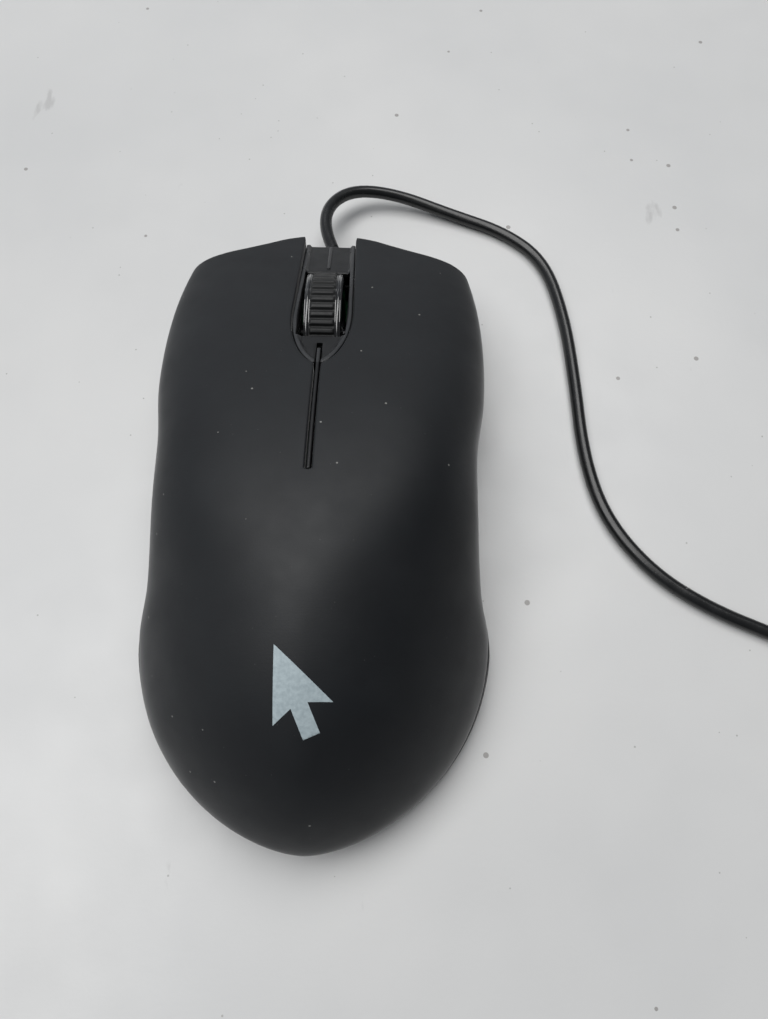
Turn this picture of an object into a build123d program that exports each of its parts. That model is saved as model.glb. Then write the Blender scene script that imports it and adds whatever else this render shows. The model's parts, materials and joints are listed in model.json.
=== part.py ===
from build123d import *
import math
import os

os.makedirs("parts", exist_ok=True)

# Wired office mouse, millimetres. +Y is the front where the cord leaves, +X is right, +Z is up.
# The origin is on the desk, under the middle of the mouse.

# Body form
HALF_LENGTH = 59.7
CROWN_HEIGHT = 38.5
CROWN_Y = -12.0
TAIL_HEIGHT = 9.5
NOSE_HEIGHT = 16.0
HIP_Y = -24.5
# Half widths, heights of the widest line, of the underside and of the parting line, each as (y, value).
HALF_WIDTHS = [
    (HIP_Y, 32.1),
    (-16, 30.5),
    (-4, 29.4),
    (8, 29.2),
    (20, 30.9),
    (32, 31.3),
    (44, 30.4),
    (56, 27.8),
    (66, 24.3),
]
WIDEST_HEIGHTS = [(-HALF_LENGTH, TAIL_HEIGHT), (-28, 3.2), (4, 14.0), (28, 13.0), (66, 10.0)]
UNDERSIDE_HEIGHTS = [
    (-HALF_LENGTH, 6.0),
    (-57, 3.0),
    (-53, 0.9),
    (-49, 0.1),
    (-46, 0.1),
    (48, 0.1),
    (52, 0.4),
    (66, 2.4),
]
SEAM_HEIGHTS = [(-66, 9.6), (-45, 7.4), (-12, 9.0), (16, 11.0), (44, 9.4), (70, 8.0)]
# The swept front edge, as (x, y).
FRONT_EDGE = [(0, 60.3), (5.6, 59.7), (9, 58.7), (13, 56.9), (17, 55.4), (21, 54.3), (26, 52.8), (33, 49.0)]
WALL = 1.8
SEAM_GAP = 0.3
FOOT_THICKNESS = 0.7
FLOOR_TOP = 2.5
FRONT_WALL_TOP = 12.0

# Buttons, slot and wheel well
FLEX_Y = -3.0
FLEX_GAP = 0.6
SLOT_HALF = 0.75
BUTTON_DROP_ROOM = 1.2
WELL_FRONT_HALF = 5.25
WELL_HALF = 5.65
WELL_TIP_Y = 19.6
WELL_BULGE_Y = 34.0
WELL_GAP = 0.25
WHEEL_OPENING_HALF = 4.5
WHEEL_OPENING_REAR = 27.6
WHEEL_OPENING_FRONT = 48.4
LIP_WIDTH = 0.85
LIP_HEIGHT = 0.55
BEZEL_FLOOR = 1.2
SLOT_FRONT_Y = 25.6
SPINE_SINK = 0.75
SPINE_DEPTH = 3.4
BEZEL_FRONT_Y = 58.8
SPINE_HALF = 0.4

# Wheel and its cradle
WHEEL_Y = 35.4
WHEEL_Z = 16.5
WHEEL_R = 12.0
TYRE_HALF = 2.35
RIM_HALF = 3.5
TYRE_RIBS = 48
ENCODER_SLOTS = 24
AXLE_R = 1.2
PIVOT_Y = 21.4
PIVOT_Z = 11.5
PIN_R = 1.0
RUNNING_GAP = 0.05

# Circuit board and switches
BOARD_BOTTOM = 6.0
BOARD_TOP = 7.2
BOARD_HALF = 22.0
BOARD_REAR_Y = -15.0
BOARD_FRONT_Y = 50.0
SWITCH_X = 17.5
SWITCH_Y = 45.0
SWITCH_TOP = 13.7
PLUNGER_TOP = 14.4
CONTACT_GAP = 0.15
MIDDLE_SWITCH = (-10.4, 33.2)
MIDDLE_PLUNGER_TOP = 13.05
BEAM_Y = 41.2
BEAM_Z = 12.0
CABLE_LANE_X = 12.2
COVER_SCREW_YS = (-22.0, -47.0)
BOARD_BOSSES = [(-17.5, 24.0), (17.5, 24.0), (-14.0, -11.0), (14.0, -11.0)]

# Cord
CORD_D = 2.7
CORD_R = CORD_D / 2
EXIT = (0.0, 62.5, 8.6)
CORD_ROUTE = [
    EXIT,
    (-2.4, 68.3, 8.3),
    (-1.6, 76.8, 6.9),
    (4.2, 82.6, 5.2),
    (14.4, 83.1, 3.2),
    (26.8, 79.1, 1.6),
    (39.6, 74.3, 1.35),
    (48.3, 66.3, 1.35),
    (51.9, 51.2, 1.35),
    (53.1, 35.0, 1.35),
    (53.7, 17.0, 1.35),
    (57.0, 3.4, 1.35),
    (65.2, -7.8, 1.35),
    (75.8, -15.0, 1.35),
    (88.1, -20.1, 1.35),
    (98.5, -24.6, 1.6),
    (107.5, -28.0, 1.95),
]
COIL_X = 116.0
COIL_Y = -11.5
COIL_INNER_R = 9.6
COIL_OUTER_R = 20.4
COIL_BOTTOM = 0.6
COIL_TOP = 10.4
TIE_THICKNESS = 0.6
TIE_WIDTH = 7.0
TAIL_ROUTE = [
    (134.1, -8.2, 9.15),
    (135.6, -1.0, 9.0),
    (138.0, 12.5, 5.2),
    (139.7, 25.5, 2.0),
    (138.4, 36.5, 2.7),
    (138.0, 46.0, 4.0),
]
PLUG_X = 138.0
PLUG_Y = 46.0
PLUG_Z = 4.0


def smooth_through(points, first_slope=None):
    """A smooth curve through points, as a function of their first coordinate."""
    xs = [p[0] for p in points]
    vs = [p[1] for p in points]
    steps = [xs[i + 1] - xs[i] for i in range(len(xs) - 1)]
    slopes = [(vs[i + 1] - vs[i]) / steps[i] for i in range(len(steps))]
    tangents = [slopes[0] if first_slope is None else first_slope]
    for i in range(1, len(slopes)):
        total = steps[i - 1] + steps[i]
        tangents.append((slopes[i - 1] * steps[i] + slopes[i] * steps[i - 1]) / total)
    tangents.append(slopes[-1])

    def value(x):
        i = 0
        while i < len(steps) - 1 and x > xs[i + 1]:
            i += 1
        h = steps[i]
        t = (x - xs[i]) / h
        rise = vs[i] * (2 * t**3 - 3 * t**2 + 1) + vs[i + 1] * (3 * t**2 - 2 * t**3)
        return rise + h * (tangents[i] * (t**3 - 2 * t**2 + t) + tangents[i + 1] * (t**3 - t**2))

    return value


side_width = smooth_through(HALF_WIDTHS, 0.0)
widest_height = smooth_through(WIDEST_HEIGHTS)
underside_height = smooth_through(UNDERSIDE_HEIGHTS)
seam_height = smooth_through(SEAM_HEIGHTS)


def half_width(y, inset=0.0):
    """Half of the body's width at y, closing to the tail as a superellipse."""
    if y >= HIP_Y:
        return side_width(y) - inset
    tail = -HALF_LENGTH + inset
    t = min((HIP_Y - y) / (HIP_Y - tail), 1.0)
    return (side_width(HIP_Y) - inset) * (1 - t**1.94) ** (1 / 1.68)


def crown_height(y, inset=0.0):
    """Height of the top on the middle line."""
    top = CROWN_HEIGHT - inset
    if y < CROWN_Y:
        tail = -HALF_LENGTH + inset
        t = min((CROWN_Y - y) / (CROWN_Y - tail), 1.0)
        return TAIL_HEIGHT + (top - TAIL_HEIGHT) * (1 - t**2.2) ** (1 / 1.45)
    t = (y - CROWN_Y) / (60 - CROWN_Y)
    return top - (CROWN_HEIGHT - NOSE_HEIGHT) * 1.6 * t * t / (t + 0.6) - 0.12 * inset * min(1, t)


def roundness(y):
    """The two exponents of the superellipse cross-section, softer at the hips than at the front."""
    t = min(max((y + 28) / 40, 0.0), 1.0)
    t = t * t * (3 - 2 * t)
    return 1.7 + 1.7 * t, 1.75 + 1.05 * t


def surface_point(y, angle, inset=0.0):
    """Point (x, z) of the cross-section at y; the angle is 0 at the widest line and 90 at the top."""
    n, m = roundness(y)
    low = widest_height(y)
    a = math.radians(angle)
    x = half_width(y, inset) * abs(math.cos(a)) ** (2 / n)
    return x, low + (crown_height(y, inset) - low) * math.sin(a) ** (2 / m)


def surface_height(x, y):
    """Height of the outer skin above the point (x, y)."""
    n, m = roundness(y)
    low = widest_height(y)
    c = min(abs(x) / half_width(y), 1.0) ** (n / 2)
    return low + (crown_height(y) - low) * math.sqrt(1 - c * c) ** (2 / m)


def body_section(y, inset=0.0):
    """Closed cross-section of the body at y: one curve over the top and one straight underside."""
    width = half_width(y, inset)
    base = underside_height(y) + inset
    low = max(widest_height(y), base + 1.2)
    tuck = min(0.18 * (low - base), 0.3 * width)
    corner = min(1.4, 0.25 * width)
    side = [
        (width - tuck - corner, base),
        (width - 0.5 * tuck - 0.2 * corner, base + 0.35 * (low - base)),
        (width, low),
    ]
    for angle in (14, 28, 42, 56, 70, 81):
        side.append(surface_point(y, angle, inset))
    right = [Vector(x, y, z) for x, z in side]
    left = [Vector(-x, y, z) for x, z in reversed(side)]
    arch = Spline(right + [Vector(0, y, crown_height(y, inset))] + left)
    return Face(Wire([arch, Line(left[-1], right[0])]))


def body_solid(inset=0.0):
    """The whole body form, inset from the outer skin, run past the front edge."""
    tail = -HALF_LENGTH + inset
    rear = [tail + step for step in (0.25, 1.0, 2.6, 5.2, 9.2, 14.5, 21.0, 28.0)]
    sections = [body_section(y, inset) for y in rear + [-24, -16, -6, 6, 18, 30, 42, 53, 64]]
    return loft(sections)


def side_profile(points):
    """Slab across the whole width with the outline points (y, z)."""
    outline = Polyline([(0, y, z) for y, z in points], close=True)
    return extrude(Face(Wire(outline)), 45, dir=(1, 0, 0), both=True)


def above_seam(lift):
    """Everything above the parting line; lift(y) raises the edge."""
    ys = [-66 + 4 * i for i in range(35)]
    edge = [(y, seam_height(y) + lift(y)) for y in ys]
    return side_profile(edge + [(70, 60), (-66, 60)])


def below_seam():
    ys = [-66 + 4 * i for i in range(35)]
    edge = [(y, seam_height(y)) for y in ys]
    return side_profile(edge + [(70, -5), (-66, -5)])


def behind_front_edge(set_back):
    """Upright block behind the swept front edge."""
    right = [Vector(x, y - set_back, 0) for x, y in FRONT_EDGE]
    left = [Vector(-x, y - set_back, 0) for x, y in reversed(FRONT_EDGE[1:])]
    front = Spline(left + right)
    back = Polyline(right[-1], (45, 40, 0), (45, -70, 0), (-45, -70, 0), (-45, 40, 0), left[0])
    return extrude(Face(Wire(front.edges() + back.edges())), 60, dir=(0, 0, 1))


def well_half_width(y):
    """Half width of the wheel well, rounded to a point at its rear end."""
    if y > WELL_BULGE_Y:
        t = (y - WELL_BULGE_Y) / (60 - WELL_BULGE_Y)
        return WELL_HALF - (WELL_HALF - WELL_FRONT_HALF) * t
    t = (WELL_BULGE_Y - y) / (WELL_BULGE_Y - WELL_TIP_Y)
    return WELL_HALF * (1 - min(t, 1.0) ** 2.2) ** (1 / 1.7)


def well_prism(inset, front):
    """Upright block with the plan form of the wheel well, inset all round."""
    span = WELL_BULGE_Y - WELL_TIP_Y
    ys = [WELL_TIP_Y + span * (1 - math.cos(math.radians(7.5 * i))) for i in range(1, 13)]
    half = [(max(well_half_width(y) - inset, 0.02), y + inset * (WELL_BULGE_Y - y) / span) for y in ys]
    half.append((WELL_FRONT_HALF - inset, front))
    right = [(x, y) for x, y in half]
    left = [(-x, y) for x, y in reversed(half)]
    plan = Polyline([(0, WELL_TIP_Y + inset)] + right + left, close=True)
    return extrude(Face(Wire(plan)), 60, dir=(0, 0, 1))


def block(x0, x1, y0, y1, z0, z1):
    return Pos((x0 + x1) / 2, (y0 + y1) / 2, (z0 + z1) / 2) * Box(x1 - x0, y1 - y0, z1 - z0)


def upright(x, y, z0, z1, radius):
    return Pos(x, y, (z0 + z1) / 2) * Cylinder(radius, z1 - z0)


def across(y, z, x0, x1, radius):
    """Round bar along X."""
    return Pos((x0 + x1) / 2, y, z) * Rot(0, 90, 0) * Cylinder(radius, x1 - x0)


def palm_cover():
    cover = (OUTER & above_seam(lambda y: SEAM_GAP) & block(-45, 45, -70, FLEX_Y, 0, 60)) - INNER
    for y in COVER_SCREW_YS:
        cover += upright(0, y, FLOOR_TOP + 0.5, crown_height(y - 3) - 0.9, 3.0)
        cover -= upright(0, y, 0, 13.0, 1.1)
    return cover


def button(side):
    """One click plate, with the post under it that reaches the switch."""
    lift = lambda y: SEAM_GAP + BUTTON_DROP_ROOM * max(y - FLEX_Y, 0) / 60
    plate = OUTER & above_seam(lift) & behind_front_edge(0)
    half = block(SLOT_HALF, 45, FLEX_Y + FLEX_GAP, 70, 0, 60)
    plate = (plate & (half if side > 0 else mirror(half, Plane.YZ))) - INNER - well_prism(0, 70)
    post_top = surface_height(SWITCH_X, SWITCH_Y) - 1.0
    return plate + upright(side * SWITCH_X, SWITCH_Y, PLUNGER_TOP + CONTACT_GAP, post_top, 1.5)


def tray_height(y):
    """Top of the wheel-well tray: nearly flush behind the wheel and deeper at the nose."""
    t = min(max((y - 24) / 34, 0.0), 1.0)
    return crown_height(y) - 0.9 - 1.6 * t


def centre_bezel():
    ys = [WELL_TIP_Y - 1 + 2 * i for i in range(20)] + [BEZEL_FRONT_Y]
    floor_top = [(y, tray_height(y)) for y in ys]
    floor_under = [(y, tray_height(y) - BEZEL_FLOOR) for y in reversed(ys)]
    plan = well_prism(WELL_GAP, BEZEL_FRONT_Y)
    tray = plan & side_profile(floor_top + floor_under)
    lip_top = [(y, tray_height(y) + LIP_HEIGHT) for y in ys]
    lip = (plan - well_prism(WELL_GAP + LIP_WIDTH, 70)) & side_profile(lip_top + floor_under)
    slot = block(-SLOT_HALF, SLOT_HALF, 0, SLOT_FRONT_Y, 0, 60)
    opening = block(-WHEEL_OPENING_HALF, WHEEL_OPENING_HALF, WHEEL_OPENING_REAR, WHEEL_OPENING_FRONT, 0, 60)
    bezel = tray + lip - opening - slot
    bezel += block(-4.6, 4.6, 56.2, 57.8, FRONT_WALL_TOP, tray_height(57) - 0.6)
    rib_ys = [FLEX_Y, 3, 9, 15, 21, 27]
    rib_top = [(y, crown_height(y) - SPINE_SINK) for y in rib_ys]
    rib_under = [(y, crown_height(y) - SPINE_DEPTH) for y in reversed(rib_ys)]
    spine = side_profile(rib_top + rib_under) & block(-SPINE_HALF, SPINE_HALF, -10, 40, 0, 60)
    nose_ys = [50, 58]
    nose_top = [(y, tray_height(y) + 0.35) for y in nose_ys]
    nose_under = [(y, tray_height(y) - 0.5) for y in reversed(nose_ys)]
    nose_rib = side_profile(nose_top + nose_under)
    return bezel + spine + (nose_rib & block(-0.5, 0.5, 40, 70, 0, 60))


def bottom_housing():
    outer = OUTER & below_seam() & behind_front_edge(1.6)
    hollow = INNER & behind_front_edge(3.4)
    housing = outer - hollow
    wall = INNER & behind_front_edge(1.6) & block(-23, 23, 40, 70, 4, FRONT_WALL_TOP)
    housing += wall - behind_front_edge(3.4)
    housing -= Pos(0, 56.5, EXIT[2]) * Rot(90, 0, 0) * Cylinder(2.5, 8)
    housing -= block(-2.5, 2.5, 50, 66, EXIT[2], 12)
    for x, y in BOARD_BOSSES:
        housing += upright(x, y, FLOOR_TOP - 0.4, BOARD_BOTTOM, 2.3)
        housing -= upright(x, y, FLOOR_TOP + 0.6, 8, 0.9)
    for x in (-7.95, 7.95):
        housing += block(x - 1.25, x + 1.25, PIVOT_Y - 2, PIVOT_Y + 2, FLOOR_TOP - 0.4, PIVOT_Z + 2.6)
    housing -= across(PIVOT_Y, PIVOT_Z, -20, 20, PIN_R)
    for y in COVER_SCREW_YS:
        housing -= upright(0, y, -2, 1.9, 2.4)
        housing -= upright(0, y, 0, 4, 1.3)
    return housing - block(-5.5, 5.5, -1.5, 9.5, -2, 5)


def rounded_pad(x, y, width, depth, z0, z1, radius):
    return Pos(x, y, z0) * extrude(RectangleRounded(width, depth, radius), z1 - z0)


def screw(x, y, head_z, head_h, head_r, shank_r, tip_z):
    """Pan-head screw; the head stands away from the tip."""
    up = 1 if tip_z > head_z else -1
    head = upright(x, y, min(head_z, head_z - up * head_h), max(head_z, head_z - up * head_h), head_r)
    slot_z = head_z - up * head_h
    head -= Pos(x, y, slot_z) * (Box(2.4, 0.5, 0.9) + Box(0.5, 2.4, 0.9))
    return head + upright(x, y, min(head_z, tip_z), max(head_z, tip_z), shank_r)


def main_pcb():
    middle = (BOARD_REAR_Y + BOARD_FRONT_Y) / 2
    board = rounded_pad(0, middle, 2 * BOARD_HALF, BOARD_FRONT_Y - BOARD_REAR_Y, BOARD_BOTTOM, BOARD_TOP, 3)
    board -= block(-4.6, 4.6, 26.2, 45.0, 0, 20)
    for x in (-7.95, 7.95):
        board -= block(x - 1.5, x + 1.5, PIVOT_Y - 2.3, PIVOT_Y + 2.3, 0, 20)
    for x, y in BOARD_BOSSES[:2]:
        board -= upright(x, y, 0, 20, 1.1)
    return board - block(-3, 3, -4, 7, 0, 20)


def switch_body(x):
    body = block(x - 2.9, x + 2.9, SWITCH_Y - 6.9, SWITCH_Y + 5.9, BOARD_TOP, SWITCH_TOP)
    body -= block(x - 0.9, x + 0.9, SWITCH_Y - 1.5, SWITCH_Y + 1.5, 10.3, 20)
    return fillet(body.edges().filter_by(Axis.Z).group_by(Axis.X)[0], 0.4)


def switch_plunger(x):
    return block(x - 0.6, x + 0.6, SWITCH_Y - 1.2, SWITCH_Y + 1.2, 11.2, PLUNGER_TOP)


def middle_switch_body():
    x, y = MIDDLE_SWITCH
    body = block(x - 3, x + 3, y - 3, y + 3, BOARD_TOP, 10.8)
    return body - upright(x, y, 9.2, 12, 2.0)


def middle_switch_plunger():
    return upright(*MIDDLE_SWITCH, 9.8, MIDDLE_PLUNGER_TOP, 1.7)


def wheel_hub():
    """Moulded hub: two polished side rims, a web with the encoder slots, and the detent ring."""
    half = [
        (AXLE_R, -RIM_HALF),
        (2.7, -RIM_HALF),
        (2.7, -3.1),
        (4.1, -3.1),
        (4.1, -0.6),
        (8.4, -0.6),
        (8.4, -3.1),
        (9.2, -RIM_HALF),
        (10.6, -RIM_HALF),
        (11.4, -3.3),
        (11.4, -TYRE_HALF),
        (10.2, -TYRE_HALF),
    ]
    other = [(r, -x) for r, x in reversed(half)]
    other.remove((4.1, 3.1))
    other.remove((4.1, 0.6))
    other[other.index((2.7, 3.1))] = (2.7, 0.6)
    outline = Polyline([(x, WHEEL_Y, WHEEL_Z + r) for r, x in half + other], close=True)
    hub = revolve(Face(Wire(outline)), Axis((0, WHEEL_Y, WHEEL_Z), (1, 0, 0)))
    at_axle = Pos(0, WHEEL_Y, WHEEL_Z)
    for i in range(ENCODER_SLOTS):
        turn = at_axle * Rot(360 * i / ENCODER_SLOTS, 0, 0)
        hub -= turn * Pos(0, 0, 6.8) * Box(3, 0.9, 2.2)
        hub -= turn * Rot(7.5, 0, 0) * Pos(-1.9, 0, 4.1) * Box(2.6, 0.5, 0.6)
    return hub


def wheel_tyre():
    ring = Rot(0, 90, 0) * (Cylinder(WHEEL_R, 2 * TYRE_HALF) - Cylinder(10.2, 20))
    for i in range(TYRE_RIBS):
        ring -= Rot(360 * (i + 0.5) / TYRE_RIBS, 0, 0) * Pos(0, 0, WHEEL_R) * Box(20, 0.55, 1.1)
    return Pos(0, WHEEL_Y, WHEEL_Z) * ring


def wheel_cradle():
    under = [(19.5, 9.5), (24, 9.5), (33, 13), (38.3, 13.4)]
    over = [(38.3, 19.2), (32.5, 19.2), (24, 13.6), (19.5, 13.6)]
    profile = under + over
    arms = side_profile(profile) & (block(4.9, 6.4, 0, 60, 0, 60) + block(-6.4, -4.9, 0, 60, 0, 60))
    cradle = arms + block(-6.4, 6.4, 19.5, 23.2, 9.5, 13.6)
    cradle += block(-12.3, -5.0, 31.2, 35.2, MIDDLE_PLUNGER_TOP + CONTACT_GAP, 14.6)
    cradle -= across(PIVOT_Y, PIVOT_Z, -20, 20, PIN_R + RUNNING_GAP)
    return cradle - across(WHEEL_Y, WHEEL_Z, -20, 20, AXLE_R + RUNNING_GAP)


def detent_spring():
    """Leaf on the left arm whose bent tip rides the hub's notched ring."""
    leaf = block(-4.9, -4.55, 27.5, 31.1, 15.7, 17.3)
    return leaf + block(-4.9, -2.2, 30.75, 31.1, 15.7, 17.3)


def led_pair(side):
    """Infra-red emitter or receiver beside the encoder wheel."""
    body = block(7.4, 9.9, BEAM_Y - 1.8, BEAM_Y + 1.8, BOARD_TOP, 14.2)
    body += Pos(7.4, BEAM_Y, BEAM_Z) * Sphere(0.9)
    return body if side > 0 else mirror(body, Plane.YZ)


def sensor_lens():
    lens = rounded_pad(0, 0, 12, 19, FLOOR_TOP, 4.2, 1.5) + block(-4.5, 4.5, -0.5, 8.5, 1.4, BOARD_BOTTOM)
    return lens - Pos(0, 4, -1.8) * Sphere(3.6)


def led_holder():
    holder = block(-3.8, 3.8, -13.5, -5.5, BOARD_TOP, 14.4)
    return holder - Pos(0, -9, 10.6) * Rot(90, 0, 0) * Cylinder(2.5, 20)


def illumination_led():
    body = Pos(0, -8.5, 10.6) * Rot(90, 0, 0) * Cylinder(2.5, 7)
    return body + Pos(0, -5, 10.6) * Sphere(2.5)


def chip_with_legs(x, y, width, length, height, legs):
    body = Box(width, length, height - 0.2)
    chip = Pos(x, y, BOARD_TOP + 0.2 + (height - 0.2) / 2) * body
    pitch = length / legs
    for i in range(legs):
        leg_y = y - length / 2 + pitch * (i + 0.5)
        for side in (-1, 1):
            leg_x = x + side * (width / 2 + 0.35)
            chip += Pos(leg_x, leg_y, BOARD_TOP + 0.25) * Box(1.1, 0.4, 0.5)
    return chip


def chip_resistors():
    left = [(-18, 8), (-18, 11), (-18, 14), (-18, 31), (-9, 12), (-6, 12)]
    spots = left + [(18, 8), (18, 12), (18, 31), (6, -10)]
    return Compound([block(x - 0.6, x + 0.6, y - 1, y + 1, BOARD_TOP, BOARD_TOP + 0.6) for x, y in spots])


def rounded_path(points, radii):
    return FilletPolyline([Vector(*p) for p in points], radius=radii)


def tube(points, diameter, radii):
    """Round tube of straight runs and tangent arcs; its volume is printed against section times length."""
    path = rounded_path(points, radii)
    start = Plane(origin=path @ 0, z_dir=path % 0)
    body = sweep(start * Circle(diameter / 2), path)
    ideal = math.pi * (diameter / 2) ** 2 * path.length
    print("tube length", round(path.length, 1), "volume over section x length", round(body.volume / ideal, 4))
    return body


def corner_radii(points):
    """0.45 of the shorter run over the tangent of half the turn, at each corner."""
    radii = []
    for a, b, c in zip(points, points[1:], points[2:]):
        before = Vector(*b) - Vector(*a)
        after = Vector(*c) - Vector(*b)
        half_turn = math.radians(before.get_angle(after)) / 2
        radii.append(0.45 * min(before.length, after.length) / math.tan(half_turn))
    print("corner radii", [round(r, 1) for r in radii])
    return radii


def inner_cable():
    """Jacketed lead from the strain relief round the wheel to the connector."""
    plan = [(0, 55.4), (0, 52.9), (CABLE_LANE_X, 52.9), (CABLE_LANE_X, 16)]
    return tube([(x, y, EXIT[2]) for x, y in plan], CORD_D, [2.2, 5.0])


def inner_wires():
    """Four thin conductors from the jacket's end to the connector."""
    wires = []
    for i in range(4):
        offset = (i - 1.5) * 0.62
        start = Vector(CABLE_LANE_X + offset, 16, EXIT[2])
        end = Vector(CABLE_LANE_X + 3.2 * offset, 11.2, 9.6)
        run = end - start
        wires.append(Plane(origin=start, z_dir=run) * Pos(0, 0, run.length / 2) * Cylinder(0.28, run.length))
    return Compound(wires)


def strain_relief():
    """Moulded boot held in the front wall, tapering to the cord."""
    profile = [
        (0, 55.4),
        (3.2, 55.4),
        (3.2, 56.2),
        (2.3, 56.2),
        (2.3, 58.6),
        (2.1, 58.9),
        (CORD_R + 0.1, EXIT[1]),
        (0, EXIT[1]),
    ]
    outline = Polyline([(r, y, 0) for r, y in profile], close=True)
    return Pos(0, 0, EXIT[2]) * revolve(Face(Wire(outline)), Axis.Y)


def coil_ring(inner, outer, bottom, top, corner):
    section = Plane.XZ * RectangleRounded(outer - inner, top - bottom, corner)
    ring = revolve(Pos((inner + outer) / 2, 0, 0) * section, Axis.Z)
    return Pos(COIL_X, COIL_Y, (bottom + top) / 2) * ring


def cord_coil():
    return coil_ring(COIL_INNER_R, COIL_OUTER_R, COIL_BOTTOM, COIL_TOP, 2.0)


def cord_tie():
    t = TIE_THICKNESS
    ring = coil_ring(COIL_INNER_R - t, COIL_OUTER_R + t, COIL_BOTTOM - t, COIL_TOP + t, 2.0 + t) - cord_coil()
    reach = block(COIL_X, COIL_X + 30, COIL_Y - TIE_WIDTH / 2, COIL_Y + TIE_WIDTH / 2, -5, 20)
    turn = Pos(COIL_X, COIL_Y, 0) * Rot(0, 0, -62) * Pos(-COIL_X, -COIL_Y, 0)
    return ring & (turn * reach)


def usb_plug_grip():
    """Overmoulded grip with its tapered cord boot."""
    plug = Pos(PLUG_X, PLUG_Y + 19, PLUG_Z) * Box(15.6, 22, 8)
    plug = fillet(plug.edges().filter_by(Axis.Y), 1.6)
    boot = loft([
        Plane(origin=(PLUG_X, PLUG_Y, PLUG_Z), z_dir=(0, 1, 0)) * Circle(1.9),
        Plane(origin=(PLUG_X, PLUG_Y + 8, PLUG_Z), z_dir=(0, 1, 0)) * Circle(3.0),
    ])
    return plug + boot - block(PLUG_X - 6, PLUG_X + 6, PLUG_Y + 28, PLUG_Y + 40, PLUG_Z - 2.25, PLUG_Z + 2.25)


def usb_plug_shell():
    """Folded steel shell, 12 by 4.5 mm, with the two latch windows in each broad side."""
    shell = block(PLUG_X - 6, PLUG_X + 6, PLUG_Y + 28, PLUG_Y + 42, PLUG_Z - 2.25, PLUG_Z + 2.25)
    shell -= block(PLUG_X - 5.7, PLUG_X + 5.7, PLUG_Y + 28.4, PLUG_Y + 50, PLUG_Z - 1.95, PLUG_Z + 1.95)
    for x in (-2.9, 2.9):
        shell -= block(PLUG_X + x - 1.1, PLUG_X + x + 1.1, PLUG_Y + 34, PLUG_Y + 36.4, PLUG_Z - 5, PLUG_Z + 5)
    return shell


def usb_plug_insert():
    return block(PLUG_X - 5.7, PLUG_X + 5.7, PLUG_Y + 28.4, PLUG_Y + 41.6, PLUG_Z - 1.95, PLUG_Z - 0.15)


def usb_plug_contacts():
    spots = (-3.5, -1.0, 1.0, 3.5)
    return Compound([Pos(PLUG_X + x, PLUG_Y + 35.7, PLUG_Z - 0.075) * Box(1, 9.4, 0.15) for x in spots])


OUTER = body_solid() & block(-45, 45, -70, 70, FOOT_THICKNESS, 60)
INNER = body_solid(WALL) & block(-45, 45, -70, 70, FLOOR_TOP, 60)

NODES = {
    "palm_cover": palm_cover(),
    "left_button": button(-1),
    "right_button": button(1),
    "centre_bezel": centre_bezel(),
    "bottom_housing": bottom_housing(),
    "front_glide_foot": rounded_pad(0, 44.5, 30, 6.5, 0, FOOT_THICKNESS, 3),
    "rear_glide_foot": rounded_pad(0, -45.5, 26, 6.5, 0, FOOT_THICKNESS, 3),
    "blank_label": rounded_pad(0, -21, 30, 20, FOOT_THICKNESS - 0.2, FOOT_THICKNESS, 2),
    "cover_screws": Compound([screw(0, y, 1.9, 1.1, 2.2, 1.1, 12.0) for y in COVER_SCREW_YS]),
    "main_pcb": main_pcb(),
    "pcb_screws": Compound([screw(x, y, BOARD_TOP, 1.3, 1.9, 0.9, 3.4) for x, y in BOARD_BOSSES[:2]]),
    "optical_sensor_chip": chip_with_legs(0, 4, 9.0, 12, 3.2, 6),
    "sensor_lens": sensor_lens(),
    "led_holder": led_holder(),
    "illumination_led": illumination_led(),
    "controller_chip": chip_with_legs(-13, 4, 4.0, 9, 1.6, 8),
    "capacitor": upright(13, -4, BOARD_TOP, 14.0, 2.5),
    "chip_resistors": chip_resistors(),
    "left_switch_body": switch_body(-SWITCH_X),
    "right_switch_body": switch_body(SWITCH_X),
    "left_switch_plunger": switch_plunger(-SWITCH_X),
    "right_switch_plunger": switch_plunger(SWITCH_X),
    "middle_switch_body": middle_switch_body(),
    "middle_switch_plunger": middle_switch_plunger(),
    "encoder_emitter": led_pair(-1),
    "encoder_receiver": led_pair(1),
    "cable_header": block(7.2, 17.2, 4.6, 7.6, BOARD_TOP, 12.4),
    "cable_connector": block(7.9, 16.5, 7.6, 11.2, BOARD_TOP + 0.4, 11.6),
    "inner_wires": inner_wires(),
    "inner_cable": inner_cable(),
    "strain_relief": strain_relief(),
    "ballast_weight": rounded_pad(0, -34.5, 26, 15, FLOOR_TOP, 6.0, 1),
    "cradle_pivot_pin": across(PIVOT_Y, PIVOT_Z, -9.2, 9.2, PIN_R),
    "wheel_cradle": wheel_cradle(),
    "detent_spring": detent_spring(),
    "wheel_hub": wheel_hub(),
    "wheel_tyre": wheel_tyre(),
    "wheel_axle": across(WHEEL_Y, WHEEL_Z, -6.8, 6.8, AXLE_R),
    "cord_run": tube(CORD_ROUTE, CORD_D, corner_radii(CORD_ROUTE)),
    "cord_coil": cord_coil(),
    "cord_tie": cord_tie(),
    "cord_tail": tube(TAIL_ROUTE, CORD_D, corner_radii(TAIL_ROUTE)),
    "usb_plug_grip": usb_plug_grip(),
    "usb_plug_shell": usb_plug_shell(),
    "usb_plug_insert": usb_plug_insert(),
    "usb_plug_contacts": usb_plug_contacts(),
}

for name, solid in NODES.items():
    export_step(solid, f"parts/{name}.step")
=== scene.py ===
import json
import math

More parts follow.
